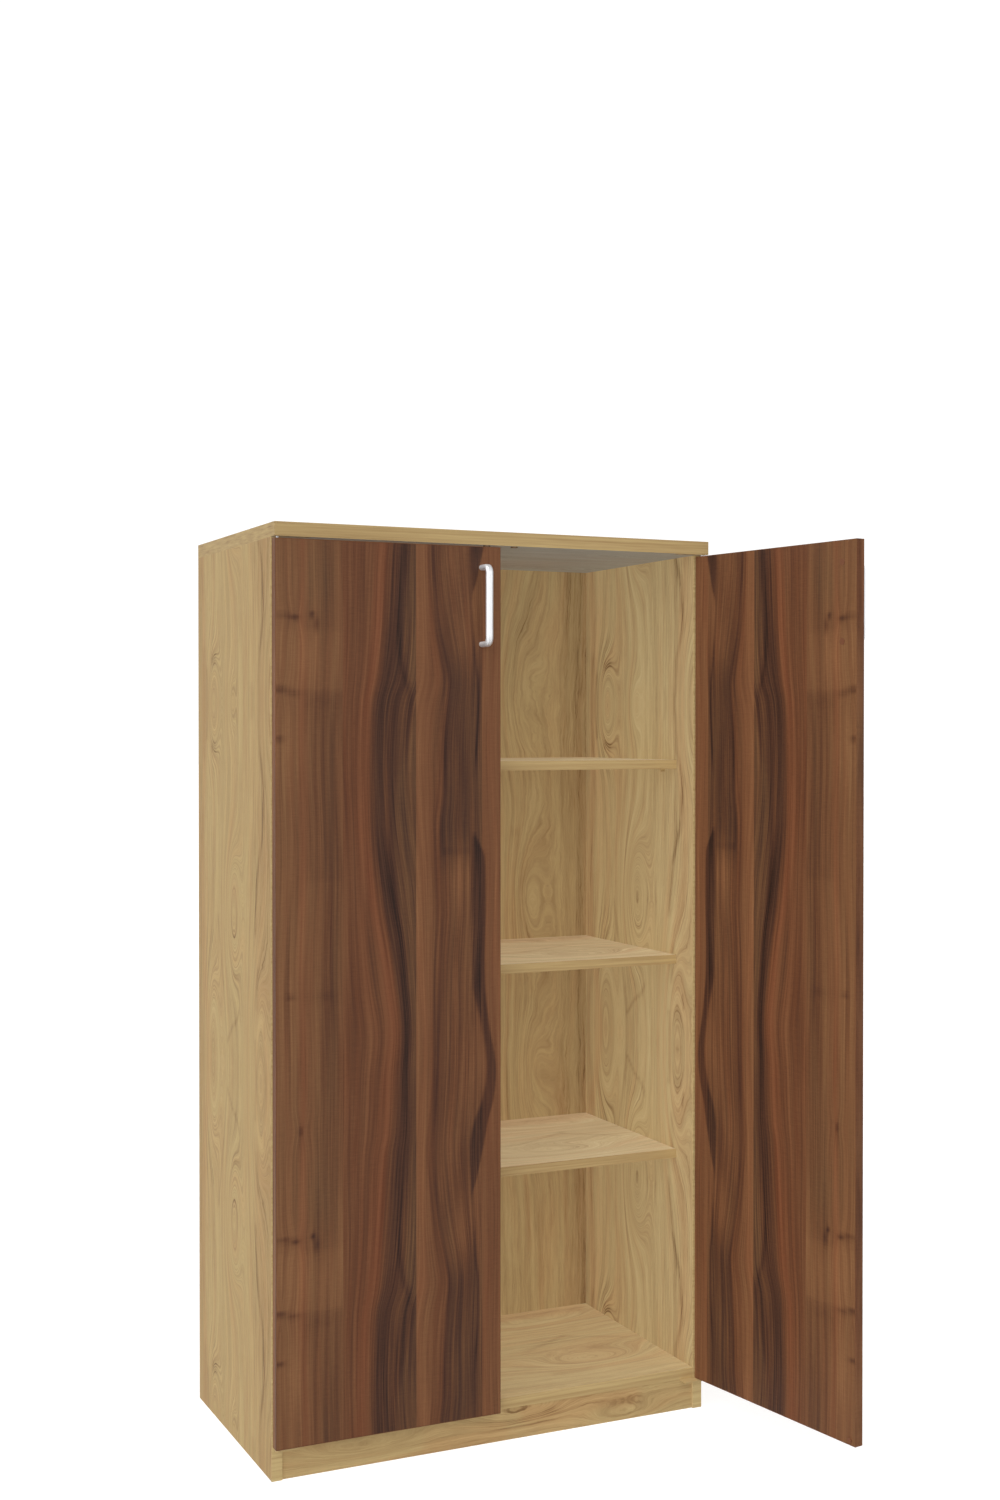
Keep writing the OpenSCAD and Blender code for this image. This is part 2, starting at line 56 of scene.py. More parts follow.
def paint(red, green, blue):
    """A colour card value, 0 to 255 a channel, as the linear colour that a shader takes."""
    card = np.array([red, green, blue]) / 255.0
    linear = np.where(card <= 0.04045, card / 12.92, ((card + 0.055) / 1.055) ** 2.4)
    return (*linear.tolist(), 1.0)


def add(tree, kind, settings=None, **inputs):
    """Adds one shader node. settings are its own properties. An input is a value or another node's
    socket, named as Blender names it with _ for a space, or i0, i1 for its place in the list."""
    made = tree.nodes.new("ShaderNode" + kind)
    for name, value in (settings or {}).items():
        setattr(made, name, value)
    for name, value in inputs.items():
        place = int(name[1:]) if name[0] == "i" and name[1:].isdigit() else name.replace("_", " ")
        if isinstance(value, bpy.types.NodeSocket):
            tree.links.new(value, made.inputs[place])
        else:
            made.inputs[place].default_value = value
    return made


def finish_named(name):
    """A new material with a Principled shader, and the shader."""
    made = bpy.data.materials.new(name)
    made.use_nodes = True
    return made, made.node_tree.nodes["Principled BSDF"]


scene = bpy.context.scene
scene.view_settings.view_transform = "Standard"

white_sky = bpy.data.worlds.new("white_sky")
white_sky.use_nodes = True
sky_tree = white_sky.node_tree
sky_height = add(sky_tree, "SeparateXYZ", Vector=add(sky_tree, "TexCoord").outputs["Generated"]).outputs["Z"]
sky_height = add(sky_tree, "MapRange", Value=sky_height, From_Min=-1.0, From_Max=1.0).outputs[0]
sky_bands = add(sky_tree, "ValToRGB", Fac=sky_height)
dim, white = (0.3, 0.3, 0.3, 1), (1, 1, 1, 1)
sky_stops = ((0.4, dim), (0.45, white), (0.68, white), (0.73, dim))
sky_bands.color_ramp.elements.new(0.5)
sky_bands.color_ramp.elements.new(0.5)
for element, (place, colour) in zip(sky_bands.color_ramp.elements, sky_stops):
    element.position, element.color = place, colour
sky_tree.links.new(sky_bands.outputs["Color"], sky_tree.nodes["Background"].inputs["Color"])
sky_tree.nodes["Background"].inputs["Strength"].default_value = 1.1
scene.world = white_sky
white_sky.cycles_visibility.diffuse = False

floor_half = 60.0
floor_mesh = bpy.data.meshes.new("studio_floor")
floor_corners = ((-1, -1), (1, -1), (1, 1), (-1, 1))
floor_mesh.from_pydata([(x * floor_half, y * floor_half, 0.0) for x, y in floor_corners], [], [(0, 1, 2, 3)])
studio_floor = bpy.data.objects.new("studio_floor", floor_mesh)
scene.collection.objects.link(studio_floor)
floor_paint, shader = finish_named("floor_paint")
shader.inputs["Base Color"].default_value = (0.8, 0.8, 0.8, 1)
shader.inputs["Roughness"].default_value = 0.9
shader.inputs["Specular IOR Level"].default_value = 0.0
shader.inputs["Emission Color"].default_value = (1, 1, 1, 1)
shader.inputs["Emission Strength"].default_value = 0.35
floor_mesh.materials.append(floor_paint)
studio_floor.visible_diffuse = False


def flood(name, toward, strength, spread=75, shadows=False):
    """Even light that comes from the direction toward, seen from the wardrobe, out of spread degrees of the
    sky: without shadows, or with very soft ones."""
    light = bpy.data.lights.new(name, "SUN")
    light.energy, light.angle, light.use_shadow = strength, math.radians(spread), shadows
    made = bpy.data.objects.new(name, light)
    across, back, up = toward
    lean = math.atan2(math.hypot(across, back), up)
    made.rotation_euler = (lean, 0, math.atan2(back, across) + math.pi / 2)
    scene.collection.objects.link(made)


flood("front_light", (-0.60, -0.33, 0.68), 2.35)
flood("soft_front_light", (-0.20, -0.36, 0.13), 2.3, 130, True)
flood("floor_bounce", (-0.15, -0.35, -0.92), 0.65)
flood("rear_light", (0.45, 0.75, 0.2), 2.0)

camera_lens = bpy.data.cameras.new("camera")
camera_lens.lens = 45.12
camera_lens.sensor_width = 36
camera = bpy.data.objects.new("camera", camera_lens)
camera.location = (-1.3309, -2.8930, 1.2104)
camera.rotation_euler = (math.pi / 2 - 0.0114, 0, -0.4338)
scene.collection.objects.link(camera)
scene.camera = camera


# ---------- Side panels ----------
# Two 18 mm particleboard panels faced with a printed light oak foil, grain upright. Their inner faces take
# a paler, cooler copy of the print: painted light that offsets the warm light bounced inside the carcass.
# The print is laid book-matched, so its figure mirrors about two heights. Dowels and cam bolts hold them.

def set_values(mesh, name, kind, values):
    """Stores one value or vector for each vertex of mesh under name."""
    key = "vector" if kind == "FLOAT_VECTOR" else "value"
    mesh.attributes.new(name, kind, "POINT").data.foreach_set(key, values.astype(np.float32).ravel())


def board(name, low, high, thin, along, cell, arris, extra_lines=()):
    """A flat board as one closed surface between the corners low and high. Both faces across the thin
    axis are grids of cell = (across the grain, along it). A rim joins them: the edge of the face grid
    carried outwards round a quarter circle of radius arris, down, and round another one to the other
    face. extra_lines are further grid lines across the grain. Returns the object, and how far across
    and along the grain each vertex lies."""
    low, high = np.array(low, float), np.array(high, float)
    across = 3 - thin - along
    lines = []
    for axis, step in ((across, cell[0]), (along, cell[1])):
        count = max(2, int(round((high[axis] - low[axis]) / step)))
        lines.append(np.linspace(low[axis] + arris, high[axis] - arris, count))
    lines[0] = np.unique(np.concatenate([lines[0], np.array(extra_lines, float)]))
    na, nb = len(lines[0]), len(lines[1])
    grid_a, grid_b = np.meshgrid(*lines, indexing="ij")
    number = np.arange(na * nb).reshape(na, nb)
    loop = np.concatenate([number[:-1, 0], number[-1, :-1], number[:0:-1, -1], number[0, :0:-1]])
    out_a = np.sign(grid_a - lines[0].mean()) * ((grid_a == lines[0][0]) | (grid_a == lines[0][-1]))
    out_b = np.sign(grid_b - lines[1].mean()) * ((grid_b == lines[1][0]) | (grid_b == lines[1][-1]))
    bend = np.linspace(0, math.pi / 2, 4)[1:]
    spread = np.concatenate([np.sin(bend), np.sin(bend)[::-1]]) * arris
    level = np.concatenate([high[thin] - arris * (1 - np.cos(bend)),
                            low[thin] + arris * (1 - np.cos(bend))[::-1]])
    rim_a = grid_a.ravel()[loop] + spread[:, None] * out_a.ravel()[loop]
    rim_b = grid_b.ravel()[loop] + spread[:, None] * out_b.ravel()[loop]
    rim_t = np.repeat(level[:, None], len(loop), 1)
    points = np.zeros((2 * na * nb + rim_a.size, 3))
    points[:, across] = np.concatenate([grid_a.ravel(), grid_a.ravel(), rim_a.ravel()])
    points[:, along] = np.concatenate([grid_b.ravel(), grid_b.ravel(), rim_b.ravel()])
    faces_t = np.repeat([high[thin], low[thin]], na * nb)
    points[:, thin] = np.concatenate([faces_t, rim_t.ravel()])
    face = np.stack([number[:-1, :-1], number[1:, :-1], number[1:, 1:], number[:-1, 1:]], -1).reshape(-1, 4)
    rings = [loop] + [2 * na * nb + k * len(loop) + np.arange(len(loop)) for k in range(len(level))]
    rings.append(loop + na * nb)
    walls = [np.stack([a, b, np.roll(b, -1), np.roll(a, -1)], -1) for a, b in zip(rings, rings[1:])]
    quads = np.concatenate([face, face[:, ::-1] + na * nb, *walls])
    corners = points[quads]
    volume = np.einsum("ij,ij->i", corners[:, 0], np.cross(corners[:, 1], corners[:, 2])).sum()
    if volume < 0:
        quads = quads[:, ::-1]
    mesh = bpy.data.meshes.new(name)
    mesh.from_pydata(points, [], quads)
    made = bpy.data.objects.new(name, mesh)
    scene.collection.objects.link(made)
    return made, points[:, across], points[:, along]


def drift(along, seed, length):
    """A slow wander between about -1 and 1: four cosines of lengths near length with odd phases."""
    draw = np.random.default_rng(seed)
    waves = zip(draw.uniform(0.6, 2.2, 4), draw.uniform(0, 2 * math.pi, 4), (0.4, 0.3, 0.2, 0.1))
    return sum(share * np.cos(2 * math.pi * along * rate / length + phase) for rate, phase, share in waves)


def hill(across, along, top_across, top_along, half_across, half_along):
    """A smooth hill of height 1: the bell curve of the distance from its top, measured in half widths."""
    return np.exp(-((across - top_across) / half_across) ** 2 - ((along - top_along) / half_along) ** 2)


def shade_between(tree, value, stops):
    """A colour ramp: stops are (place, colour) pairs."""
    made = add(tree, "ValToRGB", Fac=value)
    for _ in stops[2:]:
        made.color_ramp.elements.new(0.5)
    for element, (place, colour) in zip(made.color_ramp.elements, stops):
        element.position, element.color = place, colour
    return made.outputs["Color"]


def streaks(tree, vector, widths, detail=3.0, roughness=0.55):
    """Noise drawn out along the grain: widths is how wide, how long and how far apart in kind, in mm."""
    scaled = add(tree, "VectorMath", {"operation": "DIVIDE"}, i0=vector, i1=widths)
    made = add(tree, "TexNoise", {"noise_dimensions": "3D"}, Vector=scaled.outputs[0], Scale=1.0,
               Detail=detail, Roughness=roughness)
    return made.outputs["Fac"]


def total(tree, first, *scaled):
    """first plus each (value, factor) product."""
    for value, factor in scaled:
        first = add(tree, "Math", {"operation": "MULTIPLY_ADD"}, i0=value, i1=factor, i2=first).outputs[0]
    return first


OAK_PALE = paint(202, 179, 129)
OAK_STRAW = paint(187, 161, 112)
OAK_TAN = paint(166, 138, 94)
OAK_UMBER = paint(126, 98, 63)
ROSY_CAST = (1.0, 0.91, 0.89, 1)


def oak_foil(name, cast=(1, 1, 1, 1)):
    """Printed oak. The grain attribute holds the growth field, the place along the grain and the board's
    number. Noise stretched along the grain is read from it, so that streaks and rings follow the figure.
    The tint attribute holds dark marks, some of them painted shade, rosy patches and how strongly the
    rings show. cast tints the whole print; the inner, shelf and underside copies use it as painted light."""
    made, bsdf = finish_named(name)
    tree = made.node_tree
    grain = add(tree, "Attribute", {"attribute_name": "grain"}).outputs["Vector"]
    tint = add(tree, "Attribute", {"attribute_name": "tint"}).outputs["Vector"]
    tint = add(tree, "SeparateXYZ", Vector=tint)
    ripple = total(tree, -3.5, (streaks(tree, grain, (17, 24, 0.12), 2), 7.0))
    rippled = add(tree, "VectorMath", {"operation": "ADD"}, i0=grain,
                  i1=add(tree, "CombineXYZ", X=ripple, Y=0.0, Z=0.0).outputs[0]).outputs[0]
    broad = streaks(tree, grain, (15, 380, 0.13), 4, 0.6)
    ring = streaks(tree, rippled, (3.6, 300, 0.11), 2)
    ring = add(tree, "MapRange", Value=ring, From_Min=0.45, From_Max=0.66)
    fibre = streaks(tree, rippled, (2.2, 55, 0.12), 4, 0.65)
    pore = streaks(tree, grain, (0.6, 9, 0.14), 1)
    depth = total(tree, -0.42, (broad, 0.95), (fibre, 0.85), (tint.outputs["X"], 0.5),
                  (total(tree, -0.08, (ring.outputs[0], 0.32)), tint.outputs["Z"]))
    ground = shade_between(tree, depth, [(0.0, OAK_PALE), (0.38, OAK_STRAW), (0.75, OAK_TAN),
                                         (1.0, OAK_UMBER)])
    rosy = streaks(tree, grain, (24, 340, 0.17), 2)
    rosy = total(tree, tint.outputs["Y"], (rosy, 1.0))
    rosy = add(tree, "MapRange", Value=rosy, From_Min=0.44, From_Max=0.72)
    multiply = {"data_type": "RGBA", "blend_type": "MULTIPLY"}
    blushed = add(tree, "Mix", multiply, i0=rosy.outputs[0], i6=ground, i7=ROSY_CAST)
    # cast tints the whole print: painted light on the inner, shelf and underside copies.
    cast_tinted = add(tree, "Mix", multiply, i0=1.0, i6=blushed.outputs[2], i7=cast)
    pits = add(tree, "MapRange", Value=pore, From_Min=0.62, From_Max=0.8, To_Min=1.0, To_Max=0.84)
    colour = add(tree, "VectorMath", {"operation": "SCALE"}, i0=cast_tinted.outputs[2], Scale=pits.outputs[0])
    tree.links.new(colour.outputs[0], bsdf.inputs["Base Color"])
    gloss = add(tree, "MapRange", Value=pore, From_Min=0.4, From_Max=0.8, To_Min=0.5, To_Max=0.68)
    tree.links.new(gloss.outputs[0], bsdf.inputs["Roughness"])
    bump = add(tree, "Bump", Strength=0.25, Distance=0.0002, Height=pits.outputs[0])
    tree.links.new(bump.outputs[0], bsdf.inputs["Normal"])
    bsdf.inputs["Specular IOR Level"].default_value = 0.1
    return made


OAK_FOIL = oak_foil("oak_foil")
# The inner faces' paler, cooler copy of the print is painted light, offsetting the warm light bounced inside.
INNER_PAINTED_LIGHT_FOIL = oak_foil("inner_painted_light_foil", (1.04, 1.13, 1.3, 1))
OAK_CELL = (4 * MM, 7 * MM)
OAK_ARRIS = 0.4 * MM


def stroke(across, along, half_width, *path):
    """A soft line through the points of path: the bell curve of the distance to its nearest stretch, in
    half widths. One point makes a round spot."""
    nearest = np.full_like(across, np.inf)
    for start, end in zip(path, path[1:] or path):
        run = np.subtract(end, start)
        share = ((across - start[0]) * run[0] + (along - start[1]) * run[1]) / max(run @ run, 1e-9)
        share = np.clip(share, 0, 1)
        gap = np.hypot(across - start[0] - share * run[0], along - start[1] - share * run[1])
        nearest = np.minimum(nearest, gap)
    return np.exp(-(nearest / half_width) ** 2)


def lay_print(piece, across, along, number, hills, wander, marks_and_shade=(), blush=(), lively=()):
    """Lays the oak print on a board. The growth field rises steadily across the board, and its contour
    lines are the grain: it wanders slowly, and each hill in it, (height, across, along, half across, half
    along) in mm, bends the lines round an eye or a cathedral. marks_and_shade, blush and lively are
    strokes, (strength, half width, point, point...), that darken the print, redden it or make its rings
    show more. Some of the darkening strokes are painted shade by the corners of the carcass."""
    field = (across + wander * drift(along, number, 900)
             + 0.4 * wander * drift(along + 2 * across, number + 50, 260))
    for height, *place in hills:
        field = field + height * hill(across, along, *place)
    tint = [sum((size * stroke(across, along, *rest) for size, *rest in kind), 0 * across)
            for kind in (marks_and_shade, blush, lively)]
    tint[2] = 0.4 + tint[2]
    grain = np.stack([field, along, np.full_like(across, number)], -1)
    set_values(piece.data, "grain", "FLOAT_VECTOR", grain)
    set_values(piece.data, "tint", "FLOAT_VECTOR", np.stack(tint, -1))
    piece.data.materials.append(OAK_FOIL)


def face_with(piece, axis, toward, material):
    """Gives the side of a board that looks along an axis, toward 1 or -1, a material of its own."""
    normal = np.zeros(3 * len(piece.data.polygons))
    piece.data.polygons.foreach_get("normal", normal)
    piece.data.materials.append(material)
    piece.data.polygons.foreach_set("material_index", (normal[axis::3] * toward > 0.9).astype(int))


def stand_for(piece, body, material_slot, *names):
    """piece rides on body and stands for the CAD nodes names. material_slot is not used."""
    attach(piece, body)
    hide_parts(*names)


# The print mirrors about 262 mm below the top of the panel, and again 623 mm further down
SIDE_FOLD = 262.0
SIDE_REPEAT = 623.0
SIDE_HILLS = [
    (110, 90, 0, 40, 92),
    (40, 205, 0, 24, 60),
    (80, 422, 0, 48, 130),
    (130, 84, 623, 42, 150),
    (120, 208, 360, 44, 115),
    (120, 352, 623, 52, 200),
]
SIDE_MARKS_AND_SHADE = [
    (0.4, 5, (57, 0), (55, 60)),
    (0.3, 14, (42, -30), (42, 90)),
    (0.5, 10, (88, 78), (96, 74), (104, 80)),
    (0.5, 3.5, (124, 372), (136, 420), (155, 490), (172, 568), (175, 623)),
    (0.5, 4, (246, 520), (232, 540), (206, 553), (180, 580)),
    (0.45, 6, (335, 560), (338, 623)),
    (0.7, 3, (383, 526), (387, 546)),
    (0.5, 6, (355, 0), (360, 80), (384, 140), (376, 220), (345, 290), (336, 380)),
    (0.35, 7, (350, 440), (345, 500)),
    (0.3, 8, (320, 0), (320, 26)),
    (0.26, 46, (410, -100), (395, 300), (410, 623)),
    # Darker along the rear edge: partly print, and strengthened as painted shade for the corner by the back
    # panel.
    (0.32, 28, (16, -60), (18, 640)),
]
SIDE_BLUSH = [(0.35, 12, (38, 0), (38, 110), (28, 260), (26, 420), (44, 500), (60, 560), (67, 623)),
              (0.12, 40, (385, -100), (370, 400), (385, 623))]
SIDE_LIVELY = [(1.3, 32, (88, 60), (88, 110)), (1.1, 44, (208, 400), (208, 500)),
               (0.5, 55, (385, 150), (365, 623)), (1.2, 38, (84, 420), (84, 500)),
               (0.5, 30, (205, 30), (205, 60))]


def side_figure(piece, across, along, number):
    """The print of a side panel, measured from its rear top corner and folded at its mirror lines."""
    rear = across.max()
    from_rear = (rear - across) / MM
    drop = (along.max() - along) / MM
    folded = np.abs((drop - SIDE_FOLD + SIDE_REPEAT) % (2 * SIDE_REPEAT) - SIDE_REPEAT)
    lay_print(piece, from_rear, folded, number, SIDE_HILLS, 5.0, SIDE_MARKS_AND_SHADE, SIDE_BLUSH, SIDE_LIVELY)


for number, hand in enumerate(("left", "right"), 1):
    low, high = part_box(hand + "_side_panel")
    panel, across, along = board(hand + "_side_board", low, high, 0, 2, OAK_CELL, OAK_ARRIS)
    side_figure(panel, across, along, number)
    face_with(panel, 0, 3 - 2 * number, INNER_PAINTED_LIGHT_FOIL)
    stand_for(panel, "carcass", "oak_board", hand + "_side_panel")


# ---------- Top panel ----------
# A 23 mm board over both sides and the open front, faced like the sides, grain from side to side. Its
# underside takes a greyer, cooler copy of the same print: painted pale light from below.
# Its underside lies a hair above the pivot plates that are let into it, so that they show.

LET_IN = 0.05 * MM
low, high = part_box("top_panel")
low.z += LET_IN
top_board, across, along = board("top_board", low, high, 2, 0, OAK_CELL, OAK_ARRIS)
lay_print(top_board, across / MM, along / MM, 3,
          [(70, 120, -120, 50, 260), (60, 300, 220, 46, 240), (40, 40, 200, 30, 180)], 9.0,
          [(0.7, 12, (-40, -402), (430, -402)), (0.3, 14, (120, -150), (120, -90))],
          [(0.3, 60, (260, -200), (260, 200))],
          [(0.6, 60, (120, -300), (120, 100)), (0.6, 60, (300, 0), (300, 400))])
# The underside's greyer, cooler copy of the print is painted light.
face_with(top_board, 2, -1, oak_foil("underside_painted_light_foil", (0.85, 1.22, 2.5, 1)))
stand_for(top_board, "carcass", "oak_board", "top_panel")


# ---------- Bottom panel and plinth ----------
# The floor of the wardrobe, dowelled and cam-fixed between the sides, and the board under its front
# edge. Both have the grain from side to side.

low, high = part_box("bottom_panel")
low.z += LET_IN
floor_board, across, along = board("bottom_board", low, high, 2, 0, OAK_CELL, OAK_ARRIS)
lay_print(floor_board, across / MM, along / MM, 4,
          [(90, 102, 246, 48, 130), (50, 330, 250, 40, 150), (70, 120, -180, 46, 200)], 8.0,
          [(0.25, 12, (60, 150), (60, 210)), (0.35, 16, (380, 150), (380, 350)),
           (0.3, 5, (190, 150), (240, 250)), (0.3, 5, (190, 350), (240, 250))],
          [(0.5, 24, (385, 60), (385, 340))],
          [(0.3, 60, (92, 180), (92, 320)), (0.3, 50, (230, 150), (230, 350))])
# Its upper face takes the paler, cooler inner copy of the print: painted light.
face_with(floor_board, 2, 1, INNER_PAINTED_LIGHT_FOIL)
stand_for(floor_board, "carcass", "oak_board", "bottom_panel")

plinth_board, across, along = board("plinth_board", *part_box("plinth"), 1, 0, OAK_CELL, OAK_ARRIS)
lay_print(plinth_board, across / MM, along / MM, 5,
          [(40, 44, 40, 22, 90), (36, 10, 240, 20, 80), (30, 30, -240, 18, 120)], 4.0,
          [(0.4, 10, (44, 20), (44, 100)), (0.15, 30, (20, -400), (20, 100))],
          [(0.4, 18, (40, 60), (40, 260)), (0.3, 20, (20, -120), (20, 0))], [(0.7, 30, (30, 0), (30, 280))])
stand_for(plinth_board, "carcass", "oak_board", "plinth")


# ---------- Back panel ----------
# A 3 mm hardboard sheet slid into a groove in the sides, the top and the bottom. One face is printed
# oak, grain upright.

back_board, across, along = board("back_board", *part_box("back_panel"), 1, 2, OAK_CELL, 0.2 * MM)
# The two broad marks at 391 mm either side darken the back along its side edges: painted shade for the
# corners where it meets the side panels.
lay_print(back_board, across / MM, along / MM, 6,
          [(60, 230, 1290, 60, 180), (70, 250, 880, 44, 150), (50, 130, 960, 34, 120),
           (60, 260, 540, 50, 160), (60, 60, 1250, 40, 200), (60, -160, 1000, 60, 220),
           (60, -200, 420, 60, 240), (60, 120, 300, 40, 160)],
          6.0, [(0.35, 8, (168, 900), (150, 700)), (0.4, 12, (120, 1400), (128, 1180)), (0.3, 9, (228, 1010)),
                (0.5, 62, (391, 60), (391, 1517)), (0.5, 62, (-391, 60), (-391, 1517))],
          [(0.3, 50, (120, 480), (120, 760)), (0.3, 50, (60, 850), (60, 1150))],
          [(0.4, 60, (230, 1150), (230, 1420)), (0.4, 50, (250, 780), (250, 1000)),
           (0.4, 50, (260, 400), (260, 660))])
back_board.data.materials[0] = oak_foil("back_print", (1.04, 1.10, 1.23, 1))
stand_for(back_board, "carcass", "oak_back", "back_panel")


# ---------- Shelves ----------
# Three 16 mm shelves that rest on steel supports, set back behind the doors, grain from side to side.

# The shelves take a paler, greyer copy of the print: painted sheen.
SHELF_PAINTED_SHEEN_FOIL = oak_foil("shelf_painted_sheen_foil", (1.14, 1.29, 1.68, 1))
for number, name in enumerate(("upper", "middle", "lower"), 7):
    shelf, across, along = board(name + "_shelf_board", *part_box(name + "_shelf"), 2, 0, OAK_CELL, OAK_ARRIS)
    lay_print(shelf, across / MM, along / MM, number,
              [(80, 120, 250 - 30 * (number - 7), 50, 150), (60, 320, 300, 40, 160),
               (60, 180, -180, 46, 200)], 9.0,
              [(0.35, 18, (375, 150), (375, 350)), (0.4, 5, (200, 150), (260, 260)),
               (0.4, 5, (190, 340), (250, 250))],
              [(0.4, 30, (370, 0), (370, 360))], [(0.3, 60, (120, 150), (120, 330))])
    shelf.data.materials[0] = SHELF_PAINTED_SHEEN_FOIL
    stand_for(shelf, "carcass", "oak_board", name + "_shelf")


# ---------- Oak edge bands ----------
# 1 mm plastic bands glued to the front edges, printed to match the foil and scraped to a small arris.

def object_mm(tree):
    """Object coordinates in mm."""
    place = add(tree, "TexCoord").outputs["Object"]
    return add(tree, "VectorMath", {"operation": "SCALE"}, i0=place, Scale=1 / MM).outputs[0]


def oak_edging(name, depth_of_print):
    """Printed edge band: long streaks along the strip, whichever way it runs, from Object coordinates."""
    made, bsdf = finish_named(name)
    tree = made.node_tree
    place = object_mm(tree)
    side_on = streaks(tree, place, (420, 40, 5), 3)
    fine = streaks(tree, place, (60, 40, 1.2), 2)
    depth = total(tree, depth_of_print, (side_on, 1.3), (fine, 0.45))
    colour = shade_between(tree, depth, [(0.0, OAK_PALE), (0.4, OAK_STRAW), (0.8, OAK_TAN), (1.0, OAK_UMBER)])
    tree.links.new(colour, bsdf.inputs["Base Color"])
    bsdf.inputs["Roughness"].default_value = 0.5
    bsdf.inputs["Specular IOR Level"].default_value = 0.1
    return made


def recolour(material, *names):
    """Gives CAD nodes a material in place of their plain one."""
    for name in names:
        mesh = nodes[name].data
        mesh.materials.clear()
        mesh.materials.append(material)


recolour(oak_edging("pale_edging", -0.6), "left_side_edge_band", "right_side_edge_band")
recolour(oak_edging("oak_edging", -0.28), "top_edge_band", "bottom_edge_band", "upper_shelf_edge_band",
         "middle_shelf_edge_band", "lower_shelf_edge_band")


# ---------- Fittings inside the carcass ----------
# Beech dowels, zinc-plated cams, bolts and screws, straw-lacquered steel shelf supports, nylon corner
# blocks, and magnets in dark cases.

def worked_metal(name, colour, roughness, brush, metallic=1.0):
    """Plated or lacquered metal: a fine brushed wander in the roughness and a trace of bump."""
    made, bsdf = finish_named(name)
    tree = made.node_tree
    scratch = streaks(tree, object_mm(tree), brush, 3)
    gloss = add(tree, "MapRange", Value=scratch, From_Min=0.3, From_Max=0.7, To_Min=roughness - 0.06,
                To_Max=roughness + 0.08)
    tree.links.new(gloss.outputs[0], bsdf.inputs["Roughness"])
    bump = add(tree, "Bump", Strength=0.15, Distance=0.0001, Height=scratch)
    tree.links.new(bump.outputs[0], bsdf.inputs["Normal"])
    bsdf.inputs["Base Color"].default_value = colour
    bsdf.inputs["Metallic"].default_value = metallic
    return made


def moulded(name, colour, roughness):
    """Moulded plastic, or a thick lacquer, with the faint unevenness of its making."""
    made, bsdf = finish_named(name)
    tree = made.node_tree
    uneven = streaks(tree, object_mm(tree), (0.8, 0.8, 0.8), 2)
    bump = add(tree, "Bump", Strength=0.1, Distance=0.0001, Height=uneven)
    tree.links.new(bump.outputs[0], bsdf.inputs["Normal"])
    bsdf.inputs["Base Color"].default_value = colour
    bsdf.inputs["Roughness"].default_value = roughness
    bsdf.inputs["Specular IOR Level"].default_value = 0.2
    return made


ZINC = worked_metal("zinc_plate", (0.62, 0.63, 0.65, 1), 0.34, (0.4, 6, 0.4))
BRONZE = worked_metal("bronze_lacquer", (0.16, 0.105, 0.065, 1), 0.42, (0.5, 5, 0.5))
STRAW = moulded("straw_lacquer", paint(176, 150, 104), 0.5)
NYLON = moulded("natural_nylon", (0.80, 0.78, 0.72, 1), 0.45)
BEECH = moulded("plain_beech", (0.60, 0.42, 0.24, 1), 0.7)
recolour(BEECH, "dowels")
recolour(NYLON, "plinth_blocks")
recolour(ZINC, "cam_bolts", "cam_housings", "plinth_block_screws")
recolour(STRAW, "shelf_supports")
recolour(BRONZE, "catch_magnets")


# ---------- Pivot hinges ----------
# Straw-lacquered plates and brackets let in flush, bronzed leaves and screws, steel pins, and bushes and
# washers of walnut-coloured plastic.

BROWN = moulded("brown_plastic", paint(112, 71, 49), 0.5)
for hand in ("left_", "right_"):
    recolour(STRAW, hand + "top_pivot_plate", hand + "bottom_pivot_bracket")
    recolour(BRONZE, hand + "pivot_screws", hand + "door_leaves", hand + "leaf_screws")
    recolour(ZINC, hand + "pivot_pins", hand + "handle_screws", hand + "catch_plate")
    recolour(BROWN, hand + "pivot_washer", hand + "pivot_bushes")


# ---------- Doors ----------
# Two 16 mm doors faced with one printed walnut foil on both faces: upright leaves of veneer joined edge
# to edge, with dark heartwood, streaks and knots. The print repeats every metre down the door.

PRINT_REPEAT = 1000.0
LEAF_JOINTS = (114.0, 242.0, 361.0)
JOINT_GAP = 0.15


def trail(drop, *stops):
    """A place across the door that wanders down it: smooth through the stops, (drop, across) in mm, and
    round again at the print's repeat. Each stretch is the cubic whose slopes are those of the chords
    between the stops on either side."""
    places = np.array(stops, float)
    n = len(places)
    wrapped = (drop - places[0, 0]) % PRINT_REPEAT + places[0, 0]
    x = np.append(places[:, 0], places[0, 0] + PRINT_REPEAT)
    y = np.append(places[:, 1], places[0, 1])
    before = np.roll(places[:, 1], 1)
    x_before = np.roll(places[:, 0], 1)
    x_before[0] -= PRINT_REPEAT
    slope = (y[1:] - before) / (x[1:] - x_before)
    slope = np.append(slope, slope[0])
    k = np.clip(np.searchsorted(x, wrapped, side="right") - 1, 0, n - 1)
    span = x[k + 1] - x[k]
    t = (wrapped - x[k]) / span
    return ((2 * t**3 - 3 * t**2 + 1) * y[k] + (t**3 - 2 * t**2 + t) * span * slope[k]
            + (3 * t**2 - 2 * t**3) * y[k + 1] + (t**3 - t**2) * span * slope[k + 1])


def ease(value, start, end):
    """0 before start, 1 after end, and an even S curve between them."""
    t = np.clip((value - start) / (end - start), 0, 1)
    return t * t * (3 - 2 * t)


def between(value, left, right, soft):
    """1 inside left to right and 0 outside, with edges soft mm wide."""
    risen = ease(value, left - soft / 2, left + soft / 2)
    return risen * (1 - ease(value, right - soft / 2, right + soft / 2))


